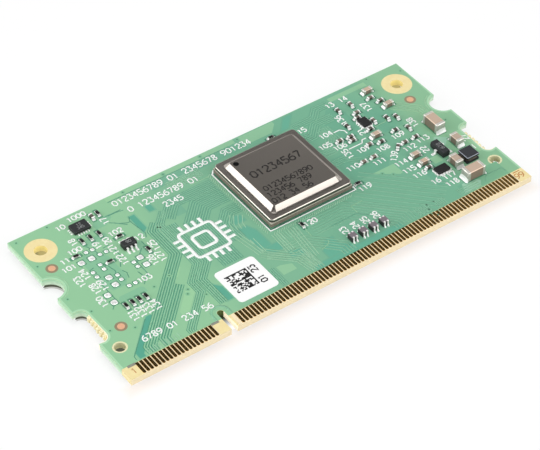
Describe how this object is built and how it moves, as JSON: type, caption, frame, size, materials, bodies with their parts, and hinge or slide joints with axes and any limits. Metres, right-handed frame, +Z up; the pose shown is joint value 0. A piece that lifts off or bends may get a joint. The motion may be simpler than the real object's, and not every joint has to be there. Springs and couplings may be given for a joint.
{
  "type": "system on module",
  "caption": "Flat green circuit board with a gold-fingered card edge, side latch notches, a metal-lidded processor and small surface-mount parts; plugs into a carrier board's socket.",
  "frame": {"origin": "middle of the base, on the plane of the underside memory and flash chips that the module rests on", "axes": "+X along the connector edge, +Y from the connector edge towards the back edge, +Z up out of the processor side"},
  "size_m": [0.0676, 0.031, 0.0043],
  "materials": {
    "solder_mask": "green solder mask over glass-epoxy laminate, satin gloss",
    "gold_plate": "smooth gold plating",
    "bare_copper": "bare copper, satin",
    "tin": "bright tin and solder",
    "paper": "white label paper",
    "carrier_laminate": "dark organic laminate",
    "silicon": "ground silicon",
    "thermal_filler": "grey thermal filler",
    "seal_rubber": "black silicone seal",
    "lid_metal": "nickel-plated copper, satin",
    "mould_compound": "black moulded epoxy",
    "alumina": "white alumina",
    "dark_glass": "black glass film",
    "capacitor_ceramic": "brown-grey fired ceramic",
    "ferrite": "dark grey ferrite",
    "enamelled_copper": "enamelled copper wire"
  },
  "bodies": {
    "root": {"board": "solder_mask", "contacts_top": "gold_plate", "contacts_bottom": "gold_plate", "sighting_marks": "bare_copper", "spare_lands": "tin", "paper_label": "paper", "processor_balls": "tin", "processor_carrier": "carrier_laminate", "processor_die": "silicon", "thermal_layer": "thermal_filler", "lid_seal": "seal_rubber", "processor_lid": "lid_metal", "memory_balls": "tin", "memory_package": "mould_compound", "flash_balls": "tin", "flash_package": "mould_compound", "resistor_bodies": "alumina", "resistor_films": "dark_glass", "resistor_caps": "tin", "small_capacitor_bodies": "capacitor_ceramic", "small_capacitor_caps": "tin", "medium_capacitor_bodies": "capacitor_ceramic", "medium_capacitor_caps": "tin", "large_capacitor_bodies": "capacitor_ceramic", "large_capacitor_caps": "tin", "bulk_capacitor_bodies": "capacitor_ceramic", "bulk_capacitor_caps": "tin", "underside_capacitor_bodies": "capacitor_ceramic", "underside_capacitor_caps": "tin", "choke_bodies": "ferrite", "choke_terminals": "tin", "inductor_core": "ferrite", "inductor_winding": "enamelled_copper", "inductor_terminals": "tin", "converter_body": "mould_compound", "converter_pads": "tin", "regulator_body": "mould_compound", "regulator_leads": "tin", "reset_chip_body": "mould_compound", "reset_chip_leads": "tin", "shifter_body": "mould_compound", "shifter_pads": "tin", "switch_body": "mould_compound", "switch_pads": "tin", "crystal_tray": "alumina", "crystal_lid": "lid_metal"}
  },
  "joints": []
}
